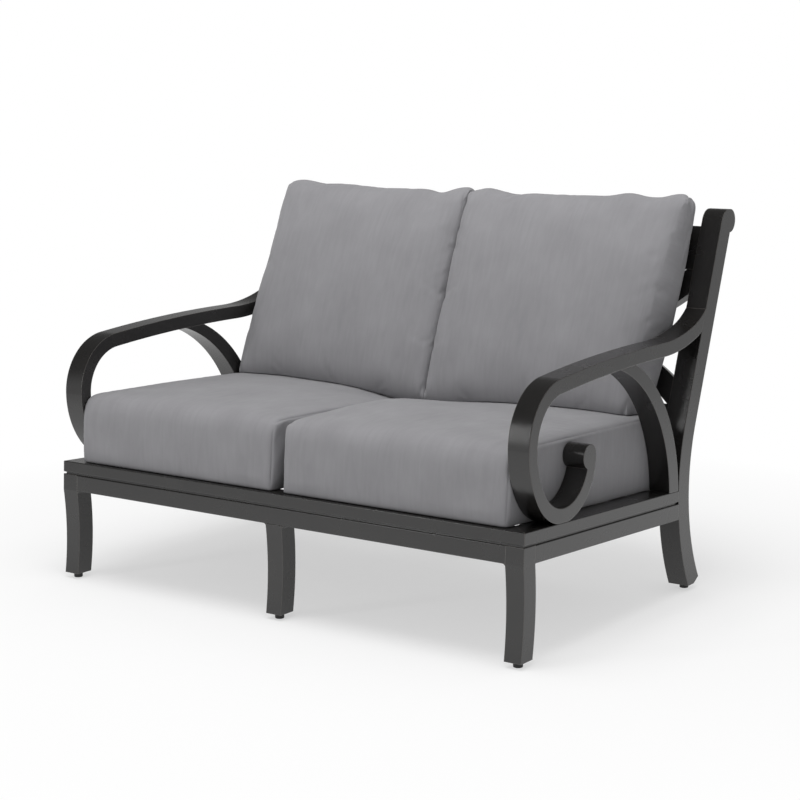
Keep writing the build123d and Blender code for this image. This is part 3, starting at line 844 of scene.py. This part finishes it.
# %% Make the cushions
cushions = {}
for number, (side, traits) in enumerate(sides.items()):
    way = traits["way"]
    near, far = traits["seat_seams"]
    shaped = seat_shape(far - near, **traits["seat_traits"])
    seat = sew("seat_cushion_" + side, shaped, from_side_seam, seat_stuffing, number + seat_seed)
    start = seat_origin + seat_front * seat_along + seat_rest_gap * seat_up
    place_points(seat, start, seat_along, seat_up, way * near, way)
    near, far = traits["back_seams"]
    shaped = back_shape(far - near, **traits["back_traits"])
    back = sew("back_cushion_" + side, shaped, from_edge_seam, back_stuffing, number + back_seed)
    start = back_origin + back_foot * back_along + back_rest_gap * back_out
    place_points(back, start, back_along, back_out, way * near, way)
    for piece in (seat, back):
        smooth(piece)
        pressed = press_sides(
            piece, way, side_room / 2, arm_inner - side_room, arm_front - side_room
        )
        print(piece.name, "points pressed by its neighbours:", pressed)
        cushions[piece.name] = piece
    lifted = rest_on(back, seat, back_seat_gap)
    print("points of the", side, "back cushion that rest on the seat:", lifted)

# %% [markdown]
# ## Hand the cushions to the frame
#
# Each soft cushion moves with its own CAD body and is shown in place of that body's nodes.

# %% Register the cushions
for name, piece in cushions.items():
    piece.data.materials.append(finishes["grey_fabric"])
    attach(piece, name)
    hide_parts(name + "_cover", name + "_core")
    print(name, "faces:", len(piece.data.polygons))

# %% [markdown]
# ## Studio
#
# A pale floor that fades into a white surround. A broad key light hangs overhead, a tall narrow
# light stands at the front left and shows in the coat as a bright band, and a soft fill comes from
# all round. Only reflections see a dark ceiling and a dimmer far floor, as in a real studio. The
# camera's place and its long lens come from the converging edges of the frame in the photo.

# %% Floor
floor_half = 12.0
floor_colour = grey(0.93)
floor_lift = 0.54
fade_start = 0.7
fade_end = 1.9
mirror_dim = 0.40
mirror_dim_start = 2.0
mirror_dim_end = 4.0


def ray_kind(graph, kind):
    """1 for rays of this kind and 0 for all others."""
    return Wire(graph, graph.tree.nodes.new("ShaderNodeLightPath").outputs["Is " + kind + " Ray"])


def seen_rays(graph):
    """1 for rays that come from the camera, straight or through a reflection, and 0 for light."""
    straight_or_mirrored = ray_kind(graph, "Camera").most(ray_kind(graph, "Glossy"))
    return straight_or_mirrored.most(ray_kind(graph, "Transmission"))


def floor_material():
    made, graph = new_material("studio_floor")
    place = graph.node("TexCoord", output="Object")
    away = graph.node("VectorMath", {"operation": "LENGTH"}, {0: place}, output="Value")
    paper = graph.node("BsdfDiffuse", None, {"Color": floor_colour})
    dimmed = mirror_dim * away.within(mirror_dim_start, mirror_dim_end) * ray_kind(graph, "Glossy")
    glow = graph.node("Emission", None, {"Color": grey(1.0), "Strength": 1.0 - dimmed})
    share = floor_lift + (1 - floor_lift) * away.within(fade_start, fade_end)
    mixed = graph.node("MixShader", None, {0: share * seen_rays(graph), 1: paper, 2: glow})
    graph.node("OutputMaterial", None, {"Surface": mixed})
    return made


floor_mesh = bpy.data.meshes.new("studio_floor")
floor_ways = ((-1, -1), (1, -1), (1, 1), (-1, 1))
floor_corners = [(x * floor_half, y * floor_half, 0) for x, y in floor_ways]
floor_mesh.from_pydata(floor_corners, [], [(0, 1, 2, 3)])
floor = bpy.data.objects.new("studio_floor", floor_mesh)
bpy.context.scene.collection.objects.link(floor)
floor.data.materials.append(floor_material())
print("floor half width:", floor_half)

# %% Light
surround_fill = 0.47
ceiling_level = 0.12
ceiling_start = 0.10
ceiling_full = 0.40
key_light = {"place": (0.3, -0.9, 4.0), "aim": (0, 0, 0.4), "size": (2.4, 2.4), "power": 96.0}
front_light = {"place": (-2.2, -4.2, 1.7), "aim": (0, 0, 0.5), "size": (0.5, 2.2), "power": 24.0}


def area_light(name, place, aim, size, power, mirrored):
    """A flat rectangular light that faces the aim; mirrored says whether reflections show it."""
    lamp = bpy.data.lights.new(name, "AREA")
    lamp.shape = "RECTANGLE"
    lamp.size, lamp.size_y = size
    lamp.energy = power
    stand = bpy.data.objects.new(name, lamp)
    stand.location = place
    stand.rotation_euler = (Vector(aim) - Vector(place)).to_track_quat("-Z", "Y").to_euler()
    stand.visible_glossy = mirrored
    bpy.context.scene.collection.objects.link(stand)
    return stand


world = bpy.data.worlds.new("studio")
bpy.context.scene.world = world
world.use_nodes = True
surround = Graph(world.node_tree)
looked_at = surround.node("TexCoord", output="Generated")
height = surround.node("SeparateXYZ", None, {"Vector": looked_at}, output="Z")
upper = height.within(ceiling_start, ceiling_full)
mirrored_level = (1.0 - mirror_dim) * (1.0 - upper) + ceiling_level * upper
shown_level = 1.0 - (1.0 - mirrored_level) * ray_kind(surround, "Glossy")
white = surround.node("Background", None, {"Color": grey(1.0), "Strength": shown_level})
fill = surround.node("Background", None, {"Color": grey(1.0), "Strength": surround_fill})
shown = surround.node("MixShader", None, {0: seen_rays(surround), 1: fill, 2: white})
surround.node("OutputWorld", None, {"Surface": shown})
area_light("key", **key_light, mirrored=False)
area_light("front", **front_light, mirrored=True)
print("lights: key and front, with a fill of", surround_fill)

# %% Camera
camera_place = (2.7054, -3.8269, 1.2428)
camera_turn = math.radians(35.135)
camera_dip = math.radians(9.508)
lens_length = 84.37
sensor_width = 36.0

camera_data = bpy.data.cameras.new("camera")
camera_data.lens = lens_length
camera_data.sensor_width = sensor_width
camera = bpy.data.objects.new("camera", camera_data)
camera.location = camera_place
camera.rotation_euler = Euler((math.pi / 2 - camera_dip, 0, camera_turn), "XYZ")
bpy.context.scene.collection.objects.link(camera)
bpy.context.scene.camera = camera
bpy.context.scene.view_settings.view_transform = "Standard"
print("camera distance:", round(camera.location.length, 3))
